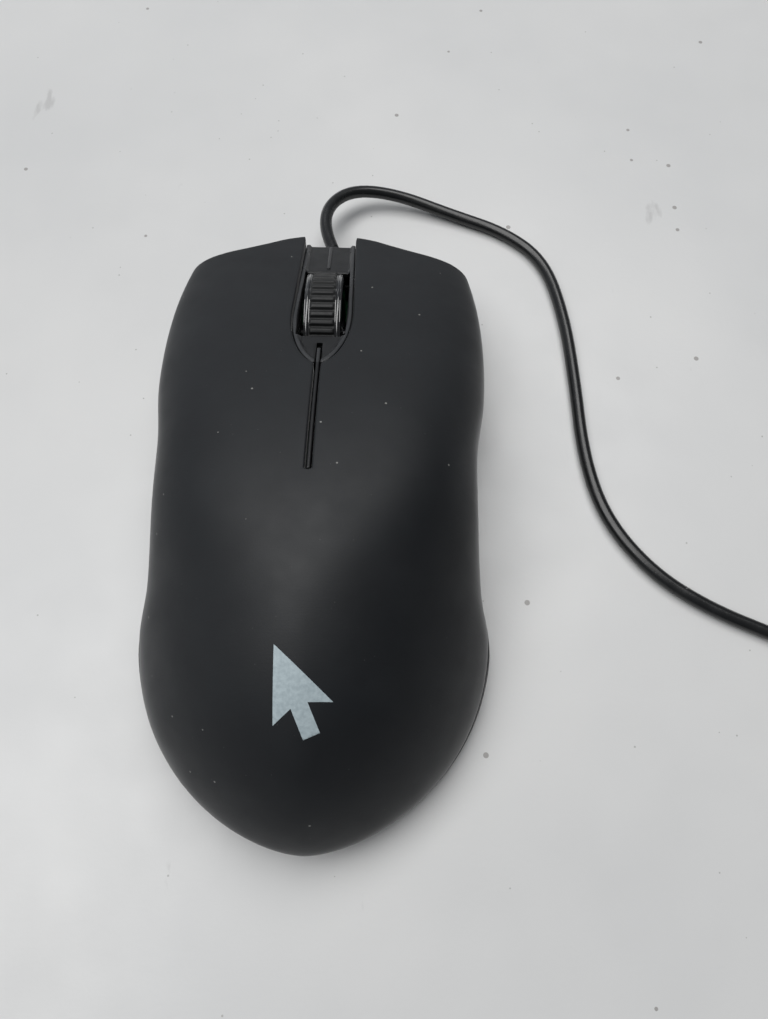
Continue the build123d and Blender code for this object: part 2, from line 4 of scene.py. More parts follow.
import bmesh
import bpy
import numpy as np
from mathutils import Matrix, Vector


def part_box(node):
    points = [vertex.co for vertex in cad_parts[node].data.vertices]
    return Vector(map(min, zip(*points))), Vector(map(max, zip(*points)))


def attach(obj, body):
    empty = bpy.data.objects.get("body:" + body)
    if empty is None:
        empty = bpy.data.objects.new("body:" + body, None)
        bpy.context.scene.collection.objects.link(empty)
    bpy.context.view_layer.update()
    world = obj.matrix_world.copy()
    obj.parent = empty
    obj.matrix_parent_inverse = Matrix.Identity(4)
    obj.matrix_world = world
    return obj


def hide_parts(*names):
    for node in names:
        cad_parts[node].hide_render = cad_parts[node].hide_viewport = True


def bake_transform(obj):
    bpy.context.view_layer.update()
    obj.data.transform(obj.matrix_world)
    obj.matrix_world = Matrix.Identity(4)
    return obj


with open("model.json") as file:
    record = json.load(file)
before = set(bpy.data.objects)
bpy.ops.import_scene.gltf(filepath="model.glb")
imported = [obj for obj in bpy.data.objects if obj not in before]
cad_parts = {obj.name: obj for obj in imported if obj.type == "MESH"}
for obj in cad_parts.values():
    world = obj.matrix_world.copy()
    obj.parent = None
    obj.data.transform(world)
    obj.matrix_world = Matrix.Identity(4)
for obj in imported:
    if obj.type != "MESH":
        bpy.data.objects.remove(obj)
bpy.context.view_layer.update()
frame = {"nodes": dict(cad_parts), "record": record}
MM = 0.001


def ease(t):
    """0 up to t = 0, 1 from t = 1 on, and a smooth S between."""
    t = np.clip(t, 0, 1)
    return t * t * (3 - 2 * t)


# ---------------------------------------------------------------- camera and lights

CAMERA_AT = (0.0112, -0.05083, 0.14769)
CAMERA_TURN = (0.3599, -0.0133, 0.0166)
CAMERA_LENS_MM = 27.24
CAMERA_SENSOR_MM = 36.0


def add_camera():
    data = bpy.data.cameras.new("camera")
    data.sensor_width = CAMERA_SENSOR_MM
    data.lens = CAMERA_LENS_MM
    data.clip_start = 0.01
    camera = bpy.data.objects.new("camera", data)
    camera.location = CAMERA_AT
    camera.rotation_euler = CAMERA_TURN
    bpy.context.scene.collection.objects.link(camera)
    bpy.context.scene.camera = camera


def add_area_light(name, place, aim, size, watts, colour):
    data = bpy.data.lights.new(name, "AREA")
    data.shape = "RECTANGLE"
    data.size, data.size_y = size
    data.energy = watts
    data.color = colour
    light = bpy.data.objects.new(name, data)
    light.location = place
    light.rotation_euler = (Vector(aim) - Vector(place)).to_track_quat("-Z", "Y").to_euler()
    bpy.context.scene.collection.objects.link(light)


add_camera()

# ---------------------------------------------------------------- the cord's line

CORD_DIAMETER = 0.0027
EXIT = (0.0, 0.0625, 0.0086)
CORD_ROUTE = [
    EXIT,
    (-0.0024, 0.0683, 0.0083),
    (-0.0016, 0.0768, 0.0069),
    (0.0042, 0.0826, 0.0052),
    (0.0144, 0.0831, 0.0032),
    (0.0268, 0.0791, 0.0016),
    (0.0396, 0.0743, 0.00135),
    (0.0483, 0.0663, 0.00135),
    (0.0519, 0.0512, 0.00135),
    (0.0531, 0.0350, 0.00135),
    (0.0537, 0.0170, 0.00135),
    (0.0570, 0.0034, 0.00135),
    (0.0652, -0.0078, 0.00135),
    (0.0758, -0.0150, 0.00135),
    (0.0881, -0.0201, 0.00135),
    (0.0985, -0.0246, 0.0016),
    (0.1075, -0.0280, 0.00195),
]
TAIL_ROUTE = [
    (0.1341, -0.0082, 0.00915),
    (0.1356, -0.0010, 0.0090),
    (0.1380, 0.0125, 0.0052),
    (0.1397, 0.0255, 0.0020),
    (0.1384, 0.0365, 0.0027),
    (0.1380, 0.0460, 0.0040),
]
COIL_CENTRE = (0.116, -0.0115)
COIL_START_DEG = -100
COIL_TURNS = 13.28
COIL_STEPS = 16
COIL_BOTTOM = 0.0006
COIL_INNER_TURN = 0.01095
COIL_SHIFT_START = 0.7
TURNS_ACROSS = 4
COIL_LAYERS = 4


def coil_slots():
    """Radius and height of each turn: a row of turns, one fewer in their hollows, and again."""
    step = CORD_DIAMETER
    rise = step * math.sin(math.radians(60))
    low = [COIL_INNER_TURN + step * i for i in range(TURNS_ACROSS)]
    nested = [r + step / 2 for r in low[:-1]]
    slots = []
    for layer in range(COIL_LAYERS):
        z = COIL_BOTTOM + step / 2 + rise * layer
        radii = nested if layer % 2 else list(reversed(low))
        slots += [(r, z) for r in radii]
    return slots


def coil_points():
    """Control points of the wound length; each turn shifts to the next place near its end.
    A quadratic curve passes inside its control points, so they stand a little further out."""
    slots = coil_slots()
    step = 2 * math.pi / COIL_STEPS
    outside = 1 / (0.75 + 0.25 * math.cos(step))
    points = []
    for i in range(int(COIL_TURNS * COIL_STEPS) + 1):
        turn = i / COIL_STEPS
        k = min(int(turn), len(slots) - 2)
        t = ease((turn - k - COIL_SHIFT_START) / (1 - COIL_SHIFT_START))
        radius = (slots[k][0] * (1 - t) + slots[k + 1][0] * t) * outside
        height = slots[k][1] * (1 - t) + slots[k + 1][1] * t
        angle = math.radians(COIL_START_DEG) + i * step
        x = COIL_CENTRE[0] + radius * math.cos(angle)
        y = COIL_CENTRE[1] + radius * math.sin(angle)
        points.append((x, y, height))
    return points


def add_cord():
    points = CORD_ROUTE + coil_points() + TAIL_ROUTE
    data = bpy.data.curves.new("cord", "CURVE")
    data.dimensions = "3D"
    data.bevel_depth = CORD_DIAMETER / 2
    data.bevel_resolution = 5
    data.use_fill_caps = True
    data.resolution_u = 8
    spline = data.splines.new("NURBS")
    spline.points.add(len(points) - 1)
    for point, place in zip(spline.points, points):
        point.co = (*place, 1)
    spline.order_u = 3
    spline.use_endpoint_u = True
    cord = bpy.data.objects.new("cord", data)
    bpy.context.scene.collection.objects.link(cord)
    return cord


cord = add_cord()

# ---------------------------------------------------------------- the body's form, in millimetres

HALF_LENGTH = 59.7
CROWN_HEIGHT = 38.5
CROWN_Y = -12.0
CROWN_FALL = 0.6
TAIL_HEIGHT = 9.5
NOSE_HEIGHT = 16.0
NOSE_Y = 60.0
HIP_Y = -24.5
TAIL_PLAN_POWERS = (1.94, 1.68)
TAIL_CROWN_POWERS = (2.2, 1.45)
ROUND_REAR_Y = -28
ROUND_FRONT_Y = 12
ROUND_REAR = (1.7, 1.75)
ROUND_GAIN = (1.7, 1.05)
HALF_WIDTHS = [
    (HIP_Y, 32.1),
    (-16, 30.5),
    (-4, 29.4),
    (8, 29.2),
    (20, 30.9),
    (32, 31.3),
    (44, 30.4),
    (56, 27.8),
    (66, 24.3),
]
WIDEST_HEIGHTS = [(-HALF_LENGTH, TAIL_HEIGHT), (-28, 3.2), (4, 14.0), (28, 13.0), (66, 10.0)]
UNDERSIDE_HEIGHTS = [
    (-HALF_LENGTH, 6.0),
    (-57, 3.0),
    (-53, 0.9),
    (-49, 0.1),
    (-46, 0.1),
    (48, 0.1),
    (52, 0.4),
    (66, 2.4),
]
SEAM_HEIGHTS = [(-66, 9.6), (-45, 7.4), (-12, 9.0), (16, 11.0), (44, 9.4), (70, 8.0)]
FRONT_EDGE = [(0, 60.3), (5.6, 59.7), (9, 58.7), (13, 56.9), (17, 55.4), (21, 54.3), (26, 52.8), (33, 49.0)]
SIDE_HEIGHT = 1.2
TUCK_SHARE, TUCK_LIMIT, TUCK_POWER = 0.18, 0.3, 1.6
CORNER_DEPTH, CORNER_LIMIT, CORNER_POWER = 1.4, 0.25, 3.7
SIDE_SAMPLES = 24
DOME_SAMPLES = 260
WALL = 1.8
SEAM_GAP = 0.3
FLEX_Y = -3.0
SLOT_HALF = 0.57
TRAY_SLOT_HALF = 0.53
SPINE_HALF = 0.31
BUTTON_DROP_ROOM = 1.2
WELL_FRONT_HALF = 5.25
WELL_HALF = 5.65
WELL_TIP_Y = 19.6
WELL_BULGE_Y = 34.0
WELL_TIP_POWERS = (2.2, 1.7)
WELL_GAP = 0.14
BEZEL_FRONT_Y = 58.8
OPENING_HALF = 4.45
OPENING_REAR = 27.6
OPENING_FRONT = 48.4
SLOT_FRONT_Y = 25.6
LIP_HEIGHT = 0.68
LIP_TOP_WIDTH = 0.72
LIP_SLOPE_WIDTH = 0.42
TRAY_THICKNESS = 1.2
TRAY_REAR_Y = 24
TRAY_FRONT_Y = 58
TRAY_DROP = 0.9
TRAY_FALL = 1.6
EDGE_ROUND = 0.35
PLATE_LIP_SET_BACK = 0.04
PLATE_LIP_REAR = 0.95
PLATE_LIP_END = 27.6
PLATE_LIP_CORNER = 0.3
PLATE_LIP_CHAMFER = 0.2


def smooth_through(points, first_slope=None):
    """A smooth curve through points, as a function of their first coordinate."""
    xs = [p[0] for p in points]
    vs = [p[1] for p in points]
    steps = [xs[i + 1] - xs[i] for i in range(len(xs) - 1)]
    slopes = [(vs[i + 1] - vs[i]) / steps[i] for i in range(len(steps))]
    tangents = [slopes[0] if first_slope is None else first_slope]
    for i in range(1, len(slopes)):
        total = steps[i - 1] + steps[i]
        tangents.append((slopes[i - 1] * steps[i] + slopes[i] * steps[i - 1]) / total)
    tangents.append(slopes[-1])

    def value(x):
        i = 0
        while i < len(steps) - 1 and x > xs[i + 1]:
            i += 1
        h = steps[i]
        t = (x - xs[i]) / h
        rise = vs[i] * (2 * t**3 - 3 * t**2 + 1) + vs[i + 1] * (3 * t**2 - 2 * t**3)
        return rise + h * (tangents[i] * (t**3 - 2 * t**2 + t) + tangents[i + 1] * (t**3 - t**2))

    return value


side_width = smooth_through(HALF_WIDTHS, 0.0)
widest_height = smooth_through(WIDEST_HEIGHTS)
underside_height = smooth_through(UNDERSIDE_HEIGHTS)
seam_height = smooth_through(SEAM_HEIGHTS)
front_edge = smooth_through(FRONT_EDGE, 0.0)


def half_width(y):
    if y >= HIP_Y:
        return side_width(y)
    t = min((HIP_Y - y) / (HIP_Y + HALF_LENGTH), 1.0)
    n, m = TAIL_PLAN_POWERS
    return side_width(HIP_Y) * (1 - t**n) ** (1 / m)


def crown_height(y):
    if y < CROWN_Y:
        t = min((CROWN_Y - y) / (CROWN_Y + HALF_LENGTH), 1.0)
        n, m = TAIL_CROWN_POWERS
        return TAIL_HEIGHT + (CROWN_HEIGHT - TAIL_HEIGHT) * (1 - t**n) ** (1 / m)
    t = (y - CROWN_Y) / (NOSE_Y - CROWN_Y)
    return CROWN_HEIGHT - (CROWN_HEIGHT - NOSE_HEIGHT) * (1 + CROWN_FALL) * t * t / (t + CROWN_FALL)


def roundness(y):
    """Powers of the section's curve, across and up: a little leaner than an ellipse at the rear,
    boxier in front."""
    t = ease((y - ROUND_REAR_Y) / (ROUND_FRONT_Y - ROUND_REAR_Y))
    return ROUND_REAR[0] + ROUND_GAIN[0] * t, ROUND_REAR[1] + ROUND_GAIN[1] * t


def surface_height(x, y):
    """Height of the upper skin at a place in plan."""
    n, m = roundness(y)
    low = widest_height(y)
    c = min(abs(x) / half_width(y), 1.0) ** (n / 2)
    return low + (crown_height(y) - low) * math.sqrt(1 - c * c) ** (2 / m)


def well_half_width(y):
    """The wheel well in plan: a pointed arch behind, nearly straight sides in front."""
    if y > WELL_BULGE_Y:
        t = (y - WELL_BULGE_Y) / (NOSE_Y - WELL_BULGE_Y)
        return WELL_HALF - (WELL_HALF - WELL_FRONT_HALF) * t
    t = (WELL_BULGE_Y - y) / (WELL_BULGE_Y - WELL_TIP_Y)
    n, m = WELL_TIP_POWERS
    return WELL_HALF * (1 - min(t, 1.0) ** n) ** (1 / m)


def slot_half_width(y):
    """The slot between the click plates, rounded at its rear end."""
    t = min(max((y - FLEX_Y) / SLOT_HALF, 0.0), 1.0)
    return SLOT_HALF * math.sqrt(1 - (1 - t) ** 2)


def tray_height(y):
    t = min(max((y - TRAY_REAR_Y) / (TRAY_FRONT_Y - TRAY_REAR_Y), 0.0), 1.0)
    return crown_height(y) - TRAY_DROP - TRAY_FALL * t


def lower_side(y):
    """Half width, how far the side tucks in and its corner turns under, and the underside's height."""
    width = half_width(y)
    base = underside_height(y)
    height = max(widest_height(y) - base, SIDE_HEIGHT)
    tuck = min(TUCK_SHARE * height, TUCK_LIMIT * width)
    return width, tuck, min(CORNER_DEPTH, CORNER_LIMIT * width), base


def half_section(y, start_z, stop_x, count):
    """Points (x, z) spaced evenly along the right half of the section, from start_z up to stop_x."""
    n, m = roundness(y)
    low = widest_height(y)
    top = crown_height(y)
    width, tuck, corner, base = lower_side(y)
    xs, zs = [], []
    first = 0.0
    if start_z < low:
        for z in np.linspace(start_z, low, SIDE_SAMPLES)[:-1]:
            u = min((low - z) / max(low - base, 0.1), 1.0)
            xs.append(width - tuck * u**TUCK_POWER - corner * u**CORNER_POWER)
            zs.append(z)
    else:
        first = math.asin(min(((start_z - low) / max(top - low, 1e-6)) ** (m / 2), 1.0))
    last = math.acos(min(stop_x / max(width, 1e-6), 1.0) ** (n / 2))
    last = max(last, first)
    a = first + (last - first) * ease(np.linspace(0, 1, DOME_SAMPLES))
    xs = np.concatenate([xs, width * np.abs(np.cos(a)) ** (2 / n)])
    zs = np.concatenate([zs, low + (top - low) * np.abs(np.sin(a)) ** (2 / m)])
    along = np.concatenate([[0], np.cumsum(np.hypot(np.diff(xs), np.diff(zs)))])
    even = np.linspace(0, along[-1], count)
    return np.stack([np.interp(even, along, xs), np.interp(even, along, zs)], 1)


# ---------------------------------------------------------------- mesh helpers


def add_object(name, mesh):
    piece = bpy.data.objects.new(name, mesh)
    bpy.context.scene.collection.objects.link(piece)
    return piece


def mesh_object(name, points_mm, faces, sharp_deg=40):
    mesh = bpy.data.meshes.new(name)
    mesh.from_pydata([[c * MM for c in p] for p in points_mm], [], faces)
    mesh.validate()
    for polygon in mesh.polygons:
        polygon.use_smooth = True
    mesh.set_sharp_from_angle(angle=math.radians(sharp_deg))
    mesh.update()
    return add_object(name, mesh)


def unit(v):
    size = np.linalg.norm(v, axis=-1, keepdims=True)
    return v / np.where(size < 1e-12, 1, size)


def grid_normals(grid):
    along_rows = np.gradient(grid, axis=0)
    along_columns = np.gradient(grid, axis=1)
    return unit(np.cross(along_columns, along_rows))


def border(rows, columns):
    """Indices of the grid's edge, once round."""
    loop = [(0, j) for j in range(columns)]
    loop += [(i, columns - 1) for i in range(1, rows)]
    loop += [(rows - 1, j) for j in range(columns - 2, -1, -1)]
    return loop + [(i, 0) for i in range(rows - 2, 0, -1)]


def thick_patch(name, grid, thickness, rounded, radius=EDGE_ROUND, steps=4, flip=False):
    """A moulded sheet: the grid is its outer face, and each rounded side gets a quarter-round rim.
    rounded says which of the sides first row, last row, first column and last column are rounded."""
    rows, columns, _ = grid.shape
    normals = grid_normals(grid) * (-1 if flip else 1)
    d_row = unit(np.gradient(grid, axis=0))
    d_column = unit(np.gradient(grid, axis=1))
    loop = border(rows, columns)
    outer = grid.reshape(-1, 3)
    inner = grid - normals * thickness
    points = [tuple(p) for p in outer]
    outward = []
    for k, (i, j) in enumerate(loop):
        d = np.zeros(3)
        if i == 0 and rounded[0]:
            d -= d_row[i, j]
        if i == rows - 1 and rounded[1]:
            d += d_row[i, j]
        if j == 0 and rounded[2]:
            d -= d_column[i, j]
        if j == columns - 1 and rounded[3]:
            d += d_column[i, j]
        corner = i in (0, rows - 1) and j in (0, columns - 1)
        if not corner:
            before, after = loop[k - 1], loop[(k + 1) % len(loop)]
            tangent = unit(grid[after] - grid[before])
            d = d - tangent * np.dot(d, tangent)
        d = d - normals[i, j] * np.dot(d, normals[i, j])
        outward.append(unit(d))
    rings = []
    for step in range(1, steps + 1):
        angle = math.pi / 2 * step / steps
        ring = []
        for (i, j), d in zip(loop, outward):
            shift = d * radius * math.sin(angle) - normals[i, j] * radius * (1 - math.cos(angle))
            ring.append(len(points))
            points.append(tuple(grid[i, j] + shift))
        rings.append(ring)
    edge_index = {}
    for (i, j), d in zip(loop, outward):
        edge_index[(i, j)] = len(points)
        points.append(tuple(grid[i, j] + d * radius - normals[i, j] * thickness))
    inner_index = np.zeros((rows, columns), int)
    for i in range(rows):
        for j in range(columns):
            if (i, j) in edge_index:
                inner_index[i, j] = edge_index[(i, j)]
            else:
                inner_index[i, j] = len(points)
                points.append(tuple(inner[i, j]))
    faces = []
    for i in range(rows - 1):
        for j in range(columns - 1):
            a = i * columns + j
            faces.append([a, a + 1, a + columns + 1, a + columns])
            back = [(i, j), (i + 1, j), (i + 1, j + 1), (i, j + 1)]
            faces.append([int(inner_index[corner]) for corner in back])
    outer_loop = [i * columns + j for i, j in loop]
    inner_loop = [int(inner_index[corner]) for corner in loop]
    chain = [outer_loop] + rings + [inner_loop]
    for upper, lower in zip(chain, chain[1:]):
        for k in range(len(loop)):
            following = (k + 1) % len(loop)
            faces.append([upper[following], upper[k], lower[k], lower[following]])
    if flip:
        faces = [list(reversed(f)) for f in faces]
    return mesh_object(name, points, faces)


def lathe(profile, segments, centre, radius_change=None):
    """Points and faces of a closed profile (x, radius) turned about the X axis through centre (y, z)."""
    points, faces = [], []
    count = len(profile)
    for s in range(segments):
        angle = 2 * math.pi * s / segments
        for k, (x, r) in enumerate(profile):
            r = r + (radius_change(angle, x, r) if radius_change else 0)
            points.append((x, centre[0] + r * math.sin(angle), centre[1] + r * math.cos(angle)))
    for s in range(segments):
        other = (s + 1) % segments
        for k in range(count):
            after = (k + 1) % count
            faces.append([s * count + k, s * count + after, other * count + after, other * count + k])
    return points, faces


# ---------------------------------------------------------------- materials


DUST_COLOUR = (0.20, 0.20, 0.19)
DUST_SIZE_MM = 1.3
SPECK_RADIUS = 0.12


def new_material(name):
    """A material with its node tree, its shader and the object's own coordinates."""
    material = bpy.data.materials.new(name)
    material.use_nodes = True
    tree = material.node_tree
    shader = tree.nodes["Principled BSDF"]
    place = tree.nodes.new("ShaderNodeTexCoord")
    return material, tree, shader, place.outputs["Object"]


def noise(tree, place, size_mm, detail=3.0, stretch=None):
    """Noise whose features are about size_mm across."""
    node = tree.nodes.new("ShaderNodeTexNoise")
    node.inputs["Scale"].default_value = 1000.0 / size_mm
    node.inputs["Detail"].default_value = detail
    if stretch:
        mapping = tree.nodes.new("ShaderNodeMapping")
        mapping.inputs["Scale"].default_value = stretch
        tree.links.new(place, mapping.inputs["Vector"])
        place = mapping.outputs["Vector"]
    tree.links.new(place, node.inputs["Vector"])
    return node.outputs["Fac"]


def specks(tree, place, size_mm, share):
    """Sparse round specks, 1 on a speck and 0 elsewhere."""
    node = tree.nodes.new("ShaderNodeTexVoronoi")
    node.inputs["Scale"].default_value = 1000.0 / size_mm
    tree.links.new(place, node.inputs["Vector"])
    near = tree.nodes.new("ShaderNodeMath")
    near.operation = "LESS_THAN"
    near.inputs[1].default_value = SPECK_RADIUS
    tree.links.new(node.outputs["Distance"], near.inputs[0])
    split = tree.nodes.new("ShaderNodeSeparateColor")
    tree.links.new(node.outputs["Color"], split.inputs["Color"])
    rare = tree.nodes.new("ShaderNodeMath")
    rare.operation = "LESS_THAN"
    rare.inputs[1].default_value = share
    tree.links.new(split.outputs["Red"], rare.inputs[0])
    both = tree.nodes.new("ShaderNodeMath")
    both.operation = "MULTIPLY"
    tree.links.new(near.outputs[0], both.inputs[0])
    tree.links.new(rare.outputs[0], both.inputs[1])
    return both.outputs[0]


def ramp(tree, factor, low, high, start=0.3, end=0.7):
    """A colour or grey value that runs from low to high with the factor."""
    node = tree.nodes.new("ShaderNodeValToRGB")
    node.color_ramp.elements[0].position = start
    node.color_ramp.elements[1].position = end
    node.color_ramp.elements[0].color = (*low, 1) if isinstance(low, tuple) else (low, low, low, 1)
    node.color_ramp.elements[1].color = (*high, 1) if isinstance(high, tuple) else (high, high, high, 1)
    tree.links.new(factor, node.inputs["Fac"])
    return node.outputs["Color"]


def mix_colour(tree, factor, a, b):
    node = tree.nodes.new("ShaderNodeMix")
    node.data_type = "RGBA"
    tree.links.new(factor, node.inputs["Factor"])
    tree.links.new(a, node.inputs["A"])
    node.inputs["B"].default_value = (*b, 1)
    return node.outputs["Result"]


def bump(tree, shader, height, depth_mm, strength=1.0):
    node = tree.nodes.new("ShaderNodeBump")
    node.inputs["Distance"].default_value = depth_mm * MM
    node.inputs["Strength"].default_value = strength
    tree.links.new(height, node.inputs["Height"])
    tree.links.new(node.outputs["Normal"], shader.inputs["Normal"])


def plastic(
    name,
    dark,
    light,
    rough,
    grain_mm,
    depth_mm,
    specular=0.5,
    dust=0.0,
    patch_mm=9.0,
    coat=0.0,
    coat_rough=0.12,
):
    """Moulded or coated plastic: slight colour drift, uneven gloss, fine grain and a little dust."""
    material, tree, shader, place = new_material(name)
    colour = ramp(tree, noise(tree, place, patch_mm), dark, light)
    if dust:
        colour = mix_colour(tree, specks(tree, place, DUST_SIZE_MM, dust), colour, DUST_COLOUR)
    tree.links.new(colour, shader.inputs["Base Color"])
    tree.links.new(ramp(tree, noise(tree, place, patch_mm * 0.45, 5.0), *rough), shader.inputs["Roughness"])
    bump(tree, shader, noise(tree, place, grain_mm, 2.0), depth_mm)
    shader.inputs["Specular IOR Level"].default_value = specular
    shader.inputs["Coat Weight"].default_value = coat
    shader.inputs["Coat Roughness"].default_value = coat_rough
    return material


def satin_coat(name):
    """Soft-touch coat: satin black with rubbed patches, hairline scratches and stray dust."""
    material, tree, shader, place = new_material(name)
    colour = ramp(tree, noise(tree, place, 11.0, 4.0), (0.0068, 0.0079, 0.0097), (0.0094, 0.0109, 0.0130))
    colour = mix_colour(tree, specks(tree, place, 1.5, 0.03), colour, DUST_COLOUR)
    colour = mix_colour(tree, specks(tree, place, 0.5, 0.012), colour, (0.07, 0.07, 0.07))
    tree.links.new(colour, shader.inputs["Base Color"])
    worn = noise(tree, place, 7.0, 6.0)
    tree.links.new(ramp(tree, worn, 0.51, 0.60), shader.inputs["Roughness"])
    fine = noise(tree, place, 0.28, 3.0)
    hair = noise(tree, place, 3.5, 3.0, (1.0, 9.0, 1.0))
    line = ramp(tree, hair, 0.0, 1.0, 0.485, 0.50)
    both = tree.nodes.new("ShaderNodeMix")
    both.data_type = "RGBA"
    both.inputs["Factor"].default_value = 0.12
    tree.links.new(fine, both.inputs["A"])
    tree.links.new(line, both.inputs["B"])
    bump(tree, shader, both.outputs["Result"], 0.012)
    shader.inputs["Specular IOR Level"].default_value = 0.38
    shader.inputs["Sheen Weight"].default_value = 0.32
    shader.inputs["Sheen Roughness"].default_value = 0.22
    return material


def metal(name, dark, light, rough, stretch, grain_mm=0.6, depth_mm=0.004):
    """Metal with a drawn or ground grain along one axis."""
    material, tree, shader, place = new_material(name)
    grain = noise(tree, place, grain_mm, 4.0, stretch)
    tree.links.new(ramp(tree, grain, dark, light), shader.inputs["Base Color"])
    tree.links.new(ramp(tree, grain, *rough), shader.inputs["Roughness"])
    bump(tree, shader, grain, depth_mm)
    shader.inputs["Metallic"].default_value = 1.0
    return material


def clear_plastic(name, tint):
    """Clear or tinted plastic with faint flow marks."""
    material, tree, shader, place = new_material(name)
    paler = tuple(min(c * 1.06, 1) for c in tint)
    tree.links.new(ramp(tree, noise(tree, place, 3.0), tint, paler), shader.inputs["Base Color"])
    tree.links.new(ramp(tree, noise(tree, place, 1.5), 0.05, 0.14), shader.inputs["Roughness"])
    shader.inputs["Transmission Weight"].default_value = 0.85
    shader.inputs["IOR"].default_value = 1.49
    return material


def circuit_board(name):
    """Green solder mask with copper tracks that show a little lighter."""
    material, tree, shader, place = new_material(name)
    track = noise(tree, place, 5.0, 1.0, (1.0, 0.25, 1.0))
    colour = ramp(tree, track, (0.012, 0.075, 0.030), (0.030, 0.150, 0.060), 0.49, 0.51)
    tree.links.new(colour, shader.inputs["Base Color"])
    tree.links.new(ramp(tree, noise(tree, place, 2.0), 0.25, 0.4), shader.inputs["Roughness"])
    bump(tree, shader, track, 0.03)
    return material


def ink(name):
    """Pale pad-printed ink: thin in places, with a slight tooth."""
    material, tree, shader, place = new_material(name)
    colour = ramp(tree, noise(tree, place, 0.6, 4.0), (0.35, 0.42, 0.45), (0.43, 0.51, 0.54), 0.35, 0.65)
    tree.links.new(colour, shader.inputs["Base Color"])
    tree.links.new(ramp(tree, noise(tree, place, 1.2), 0.42, 0.58), shader.inputs["Roughness"])
    bump(tree, shader, noise(tree, place, 0.25, 2.0), 0.01)
    return material


MATERIALS = {
    "soft_touch_black": satin_coat("soft_touch_black"),
    "moulded_black": plastic(
        "moulded_black", (0.011, 0.0115, 0.0125), (0.016, 0.0165, 0.0175), (0.5, 0.6), 0.30, 0.015, dust=0.02
    ),
    "bezel_black": plastic(
        "bezel_black",
        (0.010, 0.0105, 0.0115),
        (0.015, 0.0155, 0.0165),
        (0.36, 0.48),
        0.35,
        0.008,
        specular=0.4,
        dust=0.08,
        patch_mm=4.0,
    ),
    "foot_grey": plastic("foot_grey", (0.035, 0.035, 0.038), (0.055, 0.055, 0.058), (0.45, 0.6), 0.4, 0.01),
    "label_silver": plastic("label_silver", (0.45, 0.46, 0.47), (0.52, 0.53, 0.54), (0.35, 0.5), 0.5, 0.004),
    "zinc_steel": metal("zinc_steel", (0.52, 0.52, 0.50), (0.66, 0.66, 0.64), (0.25, 0.4), (1, 1, 1)),
    "pin_steel": metal("pin_steel", (0.60, 0.60, 0.60), (0.72, 0.72, 0.72), (0.12, 0.25), (0.1, 1, 1)),
    "board_green": circuit_board("board_green"),
    "chip_black": plastic("chip_black", (0.012, 0.012, 0.012), (0.02, 0.02, 0.02), (0.5, 0.65), 0.2, 0.01),
    "clear_plastic": clear_plastic("clear_plastic", (0.86, 0.90, 0.92)),
    "red_led": clear_plastic("red_led", (0.62, 0.03, 0.03)),
    "capacitor_sleeve": plastic(
        "capacitor_sleeve", (0.012, 0.012, 0.025), (0.02, 0.02, 0.04), (0.2, 0.3), 0.5, 0.004
    ),
    "plunger_white": plastic("plunger_white", (0.62, 0.60, 0.54), (0.70, 0.68, 0.62), (0.3, 0.4), 0.5, 0.004),
    "connector_white": plastic(
        "connector_white", (0.66, 0.65, 0.60), (0.74, 0.73, 0.68), (0.35, 0.45), 0.5, 0.004
    ),
    "wire_colours": plastic(
        "wire_colours", (0.20, 0.02, 0.02), (0.03, 0.12, 0.03), (0.3, 0.4), 0.5, 0.002, patch_mm=2.0
    ),
    "rim_gloss_black": plastic(
        "rim_gloss_black",
        (0.010, 0.010, 0.011),
        (0.014, 0.014, 0.015),
        (0.10, 0.18),
        0.8,
        0.002,
        specular=0.7,
        coat=1.0,
        coat_rough=0.05,
    ),
    "tyre_rubber": plastic(
        "tyre_rubber",
        (0.009, 0.0095, 0.010),
        (0.015, 0.0155, 0.016),
        (0.45, 0.58),
        0.25,
        0.010,
        specular=0.35,
        dust=0.05,
        patch_mm=3.0,
    ),
    "cord_black": plastic(
        "cord_black",
        (0.009, 0.0095, 0.010),
        (0.013, 0.0135, 0.014),
        (0.20, 0.30),
        0.9,
        0.006,
        dust=0.015,
        patch_mm=6.0,
    ),
    "tie_black": plastic("tie_black", (0.012, 0.012, 0.012), (0.02, 0.02, 0.02), (0.4, 0.5), 0.5, 0.01),
    "plug_black": plastic(
        "plug_black", (0.012, 0.012, 0.013), (0.018, 0.018, 0.019), (0.45, 0.58), 0.3, 0.012
    ),
    "plug_steel": metal("plug_steel", (0.55, 0.55, 0.54), (0.68, 0.68, 0.66), (0.2, 0.35), (1, 0.08, 1)),
    "insert_white": plastic("insert_white", (0.70, 0.70, 0.68), (0.78, 0.78, 0.76), (0.4, 0.5), 0.5, 0.004),
    "contact_gold": metal("contact_gold", (0.72, 0.50, 0.20), (0.85, 0.62, 0.28), (0.15, 0.3), (1, 0.1, 1)),
}
# The wheel's axle is drawn in dark steel, much darker than the other steel parts.
DARK_AXLE_STEEL = metal(
    "dark_axle_steel", (0.035, 0.035, 0.037), (0.06, 0.06, 0.063), (0.32, 0.48), (0.1, 1, 1)
)


def paint(piece, slot):
    piece.data.materials.clear()
    piece.data.materials.append(MATERIALS[slot])


for entry in frame["record"]["subparts"]:
    node = frame["nodes"][entry["node"]]
    node.data.materials.clear()
    node.data.materials.append(MATERIALS[entry["material_slot"]])
axle = frame["nodes"]["wheel_axle"]
axle.data.materials.clear()
axle.data.materials.append(DARK_AXLE_STEEL)

# ---------------------------------------------------------------- covers

PALM_ROWS = 96
PALM_HALF_COLUMNS = 46
PALM_TAIL_CROWDING = 1.9
BUTTON_COLUMNS = 54
TABLE_STEP = 0.15
SWEEP_START_Y = 40


